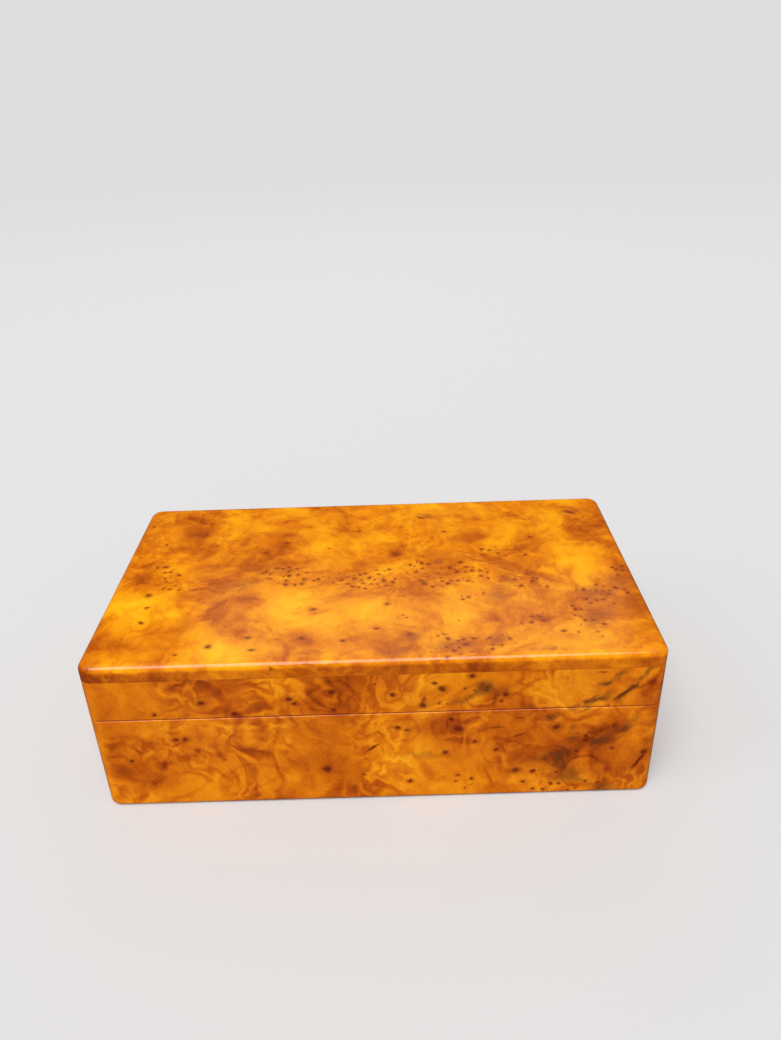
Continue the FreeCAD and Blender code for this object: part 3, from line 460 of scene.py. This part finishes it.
def metal(name, bright, tarnish, tarnish_share, roughness, brushing=(0.25, 3.0, 3.0)):
    """Brushed metal with soft tarnish and fine scratches."""
    material, tree, shader = finish_of(name)
    place = wood_place(tree)
    brushed = noise(tree, vectors(tree, "MULTIPLY", place, brushing), 0.35, 3.0, 0.6).outputs[0]
    patches = noise(tree, place, 3.2, 4.0, 0.62).outputs[0]
    dull = soften(tree, patches, 0.62 - tarnish_share / 2, 0.78 - tarnish_share / 4)
    colour = rub_in(tree, dull, 0.8, (*bright, 1.0), (*tarnish, 1.0))
    tree.links.new(colour, shader.inputs["Base Color"])
    tree.links.new(maths(tree, "MULTIPLY_ADD", dull, -0.35, 0.78), shader.inputs["Metallic"])
    rough = maths(tree, "MULTIPLY_ADD", maths(tree, "SUBTRACT", brushed, 0.5), 0.22, roughness)
    rough = maths(tree, "MULTIPLY_ADD", dull, 0.16, rough)
    tree.links.new(rough, shader.inputs["Roughness"])
    raise_surface(tree, shader, brushed, SCRATCH_DEPTH)
    return material


brass = metal(
    "brass fittings", bright=(0.76, 0.53, 0.20), tarnish=(0.30, 0.165, 0.055), tarnish_share=0.30,
    roughness=0.27)
screw_brass = metal(
    "brass screws", bright=(0.80, 0.58, 0.24), tarnish=(0.26, 0.14, 0.05), tarnish_share=0.20,
    roughness=0.30, brushing=(3.0, 3.0, 0.4))
steel = metal(
    "steel pins", bright=(0.52, 0.51, 0.49), tarnish=(0.20, 0.17, 0.14), tarnish_share=0.22,
    roughness=0.24)
wear(brass, "lock_plate", "lock_case", "lock_bolt", "link_plate",
     "left_hinge_base_leaf", "right_hinge_base_leaf", "left_hinge_lid_leaf", "right_hinge_lid_leaf")
wear(screw_brass, "lock_pins", "hinge_base_screws", "hinge_lid_screws", "link_plate_screws",
     "panel_stop_pin", "runner_stop_pin")
wear(steel, "lock_drill_pin", "lock_leaf_spring", "left_hinge_pin", "right_hinge_pin")


# ---------------------------------------------------------------- front panel and the lid's front rail
# One board of burl, sawn through at the lid line after glue-up, so its swirls and eyes run on
# from the rail into the panel. Smoky stain and dark diagonal flecks gather towards the right.
# The batten behind the panel is plain wood, stained to match it.

front_burl = burl(
    "burl front board", cut_from=(0, 0, 0), face="xz", ramp=SIDE_TONES, crowd=0.04, curl=0.16,
    shades=[
        (-70, 12, 8, 14, 0, -0.05), (-63, 24, 10, 6, 10, -0.06), (-30, 8, 26, 7, 0, 0.10),
        (-20, 22, 10, 6, 0, 0.05), (-42, 41, 9, 2, -62, -0.20), (5, 14, 14, 10, 0, 0.08),
        (-15, 35, 7, 3, 0, -0.16), (20, 28, 5, 8, 0, -0.12), (35, 24, 12, 6, 0, -0.14),
        (50, 39, 13, 5, 8, 0.15), (48, 14, 18, 8, 20, -0.26), (67, 17, 6, 7, 0, 0.04),
        (74, 26, 5, 7, 0, -0.22), (73, 37, 3, 5, -30, -0.28), (57, 28, 9, 4, 20, -0.08),
        (46, 46, 10, 2, 0, -0.12),
    ],
    swirls=[
        (-43, 27, 12, 8, 0, -0.16), (-56, 10, 9, 7, 40, -0.12), (-33, 28, 6, 9, -10, -0.12),
        (-66, 17, 7, 8, 0, -0.10), (-36, 10, 9, 5, 20, -0.10), (7, 27, 5, 4, 0, -0.10),
        (-46, 37, 5, 3.5, 0, -0.10), (-11, 37, 6, 5, 0, -0.12), (58, 9, 6, 5, 0, -0.14),
        (26, 36, 7, 5, 20, -0.10), (22, 26, 6, 6, 0, -0.12), (35, 17, 6, 5, 0, -0.10),
    ],
    clusters=[
        (24, 7, 5, 5, 0.35), (50, 5, 14, 5, 0.5), (35, 18, 5, 3, 0.4), (57, 17, 10, 7, 0.25),
        (22, 37, 12, 6, 0.2),
    ],
    smokes=[
        (30, 40, 5, 3, 10, 1.0), (22, 36, 4, 1.8, 40, 0.7), (35, 38, 5, 1.5, 40, 0.6),
        (48, 13, 8, 5, 10, 1.0), (53, 22, 2, 6, -15, 0.9), (60, 20, 6, 3, 10, 1.0),
        (66, 25, 7, 2.5, 35, 0.9), (15, 15, 7, 2.5, 0, 0.35), (62, 3, 5, 3, 0, 0.8),
        (55, 8, 8, 4, 0, 0.7), (48, 30, 7, 1.3, 14, 1.0), (63, 40, 6, 1.1, 50, 1.0),
        (59, 34, 8, 1.3, 28, 1.0), (68, 38, 6, 1.4, 46, 1.0), (72, 43, 4, 1.2, 55, 0.8),
        (26, 38, 7, 2.0, 25, 0.8),
    ],
    streaks=[
        (-1, 19.5, 3.4, 0.6, 35, 0.9), (58, 35, 3.6, 0.45, 25, 0.8), (66, 36, 4.2, 0.7, 40, 0.9),
        (73, 12, 5.5, 0.8, 62, 1.0), (39, 22.5, 2.6, 0.5, 25, 0.7), (33, 25.5, 2.6, 0.6, 0, 0.6),
        (38.7, 28.8, 1.5, 0.6, 0, 0.9), (60, 43.5, 1.6, 0.4, 0, 0.8), (57, 31, 4, 0.5, 25, 0.6),
        (19.5, 27, 0.5, 2, 0, 0.5), (13, 35.5, 0.7, 2, -20, 0.7),
    ],
    eyes=[
        (-46, 37, 1.0), (-46, 46, 0.6), (-59, 33.5, 0.7), (-37.5, 33, 1.0), (-22.5, 37.5, 0.9),
        (-21.5, 36, 0.8), (-11, 39.5, 1.1), (-11, 33.5, 0.8), (-19.5, 46.5, 0.6), (5, 38, 0.9),
        (15, 46, 0.6), (16, 41.5, 0.7), (18, 39.5, 1.1), (13, 34, 1.1), (26, 43.5, 0.8),
        (35, 37, 1.0), (41, 46, 0.7), (-54.5, 24.5, 0.8), (-52, 24.5, 0.9), (-68, 17, 0.6),
        (-14, 12, 1.4), (-4, 9.5, 0.5), (6, 26.5, 0.8), (8.5, 25.5, 0.7), (9, 6.5, 0.6),
        (20.5, 29, 0.9), (22.5, 25.5, 1.2), (27, 20.5, 0.6), (33, 17.5, 0.7), (49, 25, 1.1),
        (38.5, 9.5, 1.2), (57.5, 20, 1.0), (74, 15, 1.0), (41, 5, 0.7),
    ],
)
wear(front_burl, "front_panel", "lid_front_rail")
batten_wood = plain_board(
    "plain wood batten", cut_from=(250, 120, 10), pale=(0.58, 0.18, 0.012), deep=(0.34, 0.080, 0.004),
    sheen_roughness=0.36)
wear(batten_wood, "front_panel_batten")


# ---------------------------------------------------------------- lid top
# The show board, another slice of the same burl: brighter yellow-amber ground, a dark band from
# the left to the middle, a belt of small eyes across the centre and smoky stain at the front right.

TOP_TONES = [
    (0.0, 0.27, 0.040, 0.0010),
    (1.0, 0.94, 0.46, 0.0050),
    (0.25, 0.51, 0.110, 0.0010),
    (0.45, 0.69, 0.190, 0.0012),
    (0.60, 0.81, 0.275, 0.0016),
    (0.80, 0.90, 0.375, 0.0028),
]
TOP_EYE = (0.19, 0.028, 0.002, 1.0)
TOP_SMOKE = (0.36, 0.075, 0.008, 1.0)
top_burl = burl(
    "burl top board", cut_from=(120, 40, 210), face="xy", ramp=TOP_TONES, crowd=0.06, curl=0.07,
    mottle=0.50, eye=TOP_EYE, smoke=TOP_SMOKE, edge_shift=0.26,
    shades=[
        (-70, -17, 14, 10, 20, 0.30), (-54, -26, 24, 7, 42, -0.06), (-66, -38, 12, 7, 20, 0.02),
        (-46, -10, 14, 4, 35, -0.12), (-22, -22, 22, 10, 0, 0.22), (-36, -38, 14, 5, 10, 0.25),
        (0, -20, 14, 12, 0, 0.22), (27, -20, 8, 12, 30, 0.12), (-57, 24, 7, 14, 15, -0.24),
        (-50, 14, 8, 5, 40, -0.14), (-69, 1, 7, 9, 0, -0.20), (-38, 3, 9, 5, 45, -0.16),
        (-15, 4, 22, 2.5, 0, -0.14), (-20, 12, 12, 6, 20, 0.20), (-5, 13, 6, 5, 0, 0.12),
        (7, 9, 3, 10, -32, -0.16), (-22, -34, 16, 7, 0, 0.20), (-5, 24, 12, 5, 0, -0.16),
        (30, 17, 10, 4, 10, -0.20), (24, 33, 12, 4, 0, -0.10), (46, 26, 10, 7, 0, 0.22),
        (41, 15, 5, 5, 0, 0.16), (66, 18, 10, 8, 0, -0.12), (63, -1, 8, 4, -30, 0.20),
        (38, 3, 14, 2.5, -32, -0.24), (52, -6, 11, 2.5, -30, -0.22), (68, -24, 8, 6, 20, -0.22),
        (55, -30, 7, 4, 0, 0.12), (-66, 35, 10, 5, 0, -0.16), (60, 4, 12, 16, 0, 0.06),
    ],
    clusters=[
        (-30, -1, 9, 4, 0.95), (-20, -5, 9, 5, 0.8), (-8, -4, 9, 5, 1.0), (2, -5, 9, 6, 1.0),
        (14, 2, 7, 7, 0.85), (16, -8, 8, 5, 0.85), (27, -4, 10, 6, 0.95), (44, -8, 10, 5, 0.85),
        (38, 8, 9, 5, 0.6), (-56, -7, 8, 3, 0.85), (66, -16, 8, 8, 0.9), (75, -3, 5, 8, 0.7),
        (55, -23, 5, 4, 0.8), (22, -38, 10, 6, 0.9), (34, -36, 6, 5, 0.7), (45, -27, 5, 3, 0.8),
        (28, -15, 5, 3, 0.7), (-61, 2, 9, 6, 0.5), (60, -32, 6, 6, 0.6), (9, -24, 4, 3, 0.8),
    ],
    smokes=[
        (66, 33.5, 4, 3.5, 0, 1.0), (18, 32, 5, 1.8, -15, 0.9), (-38, -6, 10, 3.5, 15, 0.8),
        (36, -15, 5, 6, 0, 0.8), (10, -33, 4, 4, 0, 0.9), (6, -39, 5, 2.5, 0, 0.9),
        (22, -38, 9, 4, 0, 0.9), (34, -35, 4, 4, 0, 0.9), (48, -41, 7, 2, 0, 0.8),
        (65, -16, 7, 6, 0, 0.9), (62, -27, 5, 7, -20, 0.9), (73, -10, 6, 5, 0, 1.0),
        (-27, 0, 8, 2.5, -10, 0.6), (-8, -3, 8, 2, 0, 0.5), (20, 4, 3, 3, -20, 0.9),
        (40, -7, 3, 5, 10, 0.8),
    ],
    streaks=[
        (15.5, 32.3, 2.4, 0.9, -25, 1.0), (66, 33, 3, 0.9, -30, 0.8), (46, 31.5, 6, 0.4, 8, 0.6),
        (32, 4, 8, 0.5, -30, 0.5), (42, -3, 8, 0.5, -32, 0.5), (52, -8, 6, 0.5, -30, 0.5),
        (28, 9, 6, 0.4, -20, 0.45), (-40, 2, 4, 0.5, 50, 0.4),
    ],
    eyes=[
        (-34, -32.5, 0.8), (-44, -36, 0.8), (-32, -38, 0.6), (-19, -33.5, 0.7), (-8, -35, 0.6),
        (-52, -39, 0.5), (51.5, -33.5, 0.6), (-66, -10.5, 0.8), (-17, -20, 0.8), (4, -18.5, 0.6),
        (1, -30, 0.6), (-34, 12, 0.8), (-28, 18, 0.6), (23, 22, 0.6), (47, 6, 0.6),
    ],
)
wear(top_burl, "lid_top")


# ---------------------------------------------------------------- key
# A small barrel key of cast brass, polished by handling, with a little brown left in patches. It
# lies loose in the pocket of the runner with its ring to the left.

key_brass = metal(
    "brass key", bright=(0.84, 0.61, 0.25), tarnish=(0.36, 0.20, 0.07), tarnish_share=0.16,
    roughness=0.20, brushing=(0.5, 2.5, 2.5))
wear(key_brass, "key")


# ---------------------------------------------------------------- table, light and camera
# A plain pale table in soft daylight from the front and above, with a dim lamp behind that lays a
# sheen on the front of the lid and one at the left that draws the corner.

TABLE_SIZE = 12.0
TABLE_TONE = 0.62
TABLE_CLEARANCE = 0.0002
half = TABLE_SIZE / 2
level = cad_low.z - TABLE_CLEARANCE
table_mesh = bpy.data.meshes.new("table")
corners = [(-half, -half, level), (half, -half, level), (half, half, level), (-half, half, level)]
table_mesh.from_pydata(corners, [], [(0, 1, 2, 3)])
table = bpy.data.objects.new("table", table_mesh)
bpy.context.scene.collection.objects.link(table)
table_paint, table_tree, table_shader = finish_of("pale table")
table_shader.inputs["Base Color"].default_value = (TABLE_TONE, TABLE_TONE, TABLE_TONE, 1.0)
table_shader.inputs["Roughness"].default_value = 0.8
table_shader.inputs["Specular IOR Level"].default_value = 0.0
table_mesh.materials.append(table_paint)
table.visible_glossy = False

lid_middle = Vector((0, 0, cad_high.z))


def lamp(name, distance, heading, height, wide, high, power, warmth=(1.0, 1.0, 1.0)):
    """A soft rectangular lamp that faces the lid. heading is clockwise from straight behind, seen
    from above, and height is above the level of the lid, both in degrees."""
    light = bpy.data.lights.new(name, "AREA")
    light.shape = "RECTANGLE"
    light.size, light.size_y = wide, high
    light.energy = power
    light.color = warmth
    holder = bpy.data.objects.new(name, light)
    around, rise = math.radians(heading), math.radians(height)
    way = Vector((math.sin(around) * math.cos(rise), math.cos(around) * math.cos(rise), math.sin(rise)))
    holder.location = lid_middle + way * distance
    holder.rotation_euler = (-way).to_track_quat("-Z", "Y").to_euler()
    bpy.context.scene.collection.objects.link(holder)


lamp("behind", distance=1.0, heading=2, height=46, wide=0.65, high=0.45, power=0.6,
     warmth=(1.0, 0.88, 0.82))
lamp("left", distance=1.1, heading=-112, height=38, wide=0.35, high=0.5, power=1.0)

DAYLIGHT_STRENGTH = 3.0
DAYLIGHT_SPREAD = 44
DAYLIGHT_LEAN = 30
DAYLIGHT_TURN = -12
daylight = bpy.data.lights.new("daylight", "SUN")
daylight.energy = DAYLIGHT_STRENGTH
daylight.angle = math.radians(DAYLIGHT_SPREAD)
window = bpy.data.objects.new("daylight", daylight)
window.rotation_euler = (math.radians(DAYLIGHT_LEAN), 0, math.radians(DAYLIGHT_TURN))
bpy.context.scene.collection.objects.link(window)

AMBIENT = 0.35
FAR_TABLE = 0.731
world = bpy.data.worlds.new("studio")
bpy.context.scene.world = world
world.use_nodes = True
sky = world.node_tree
outward = put(sky, "ShaderNodeTexCoord").outputs["Generated"]
upward = put(sky, "ShaderNodeSeparateXYZ", {0: outward}).outputs[2]
ceiling = soften(sky, upward, 0.55, 0.95, 0.06, 0.6)
rays = put(sky, "ShaderNodeLightPath").outputs
shade = dye(sky, rays["Is Glossy Ray"], (AMBIENT, AMBIENT, AMBIENT, 1.0), ceiling)
shade = dye(sky, rays["Is Camera Ray"], shade, (FAR_TABLE, FAR_TABLE, FAR_TABLE, 1.0))
sky.links.new(shade, sky.nodes["Background"].inputs["Color"])
bpy.context.scene.view_settings.view_transform = "Standard"

CAMERA_RIGHT = 0.0067
CAMERA_FROM_FRONT = 0.1707
CAMERA_ABOVE_LID = 0.1349
CAMERA_TILT = 28.75
CAMERA_TURN = 0.27
CAMERA_ROLL = -1.88
CAMERA_LENS = 28.8
camera = bpy.data.cameras.new("camera")
camera.lens = CAMERA_LENS
camera.clip_start = 0.01
viewer = bpy.data.objects.new("camera", camera)
stand = Vector((CAMERA_RIGHT, cad_low.y - CAMERA_FROM_FRONT, cad_high.z + CAMERA_ABOVE_LID))
turn = Matrix.Rotation(math.radians(CAMERA_TURN), 4, "Z")
tilt = Matrix.Rotation(math.radians(90 - CAMERA_TILT), 4, "X")
roll = Matrix.Rotation(math.radians(CAMERA_ROLL), 4, "Z")
viewer.matrix_world = Matrix.Translation(stand) @ turn @ tilt @ roll
bpy.context.scene.collection.objects.link(viewer)
bpy.context.scene.camera = viewer
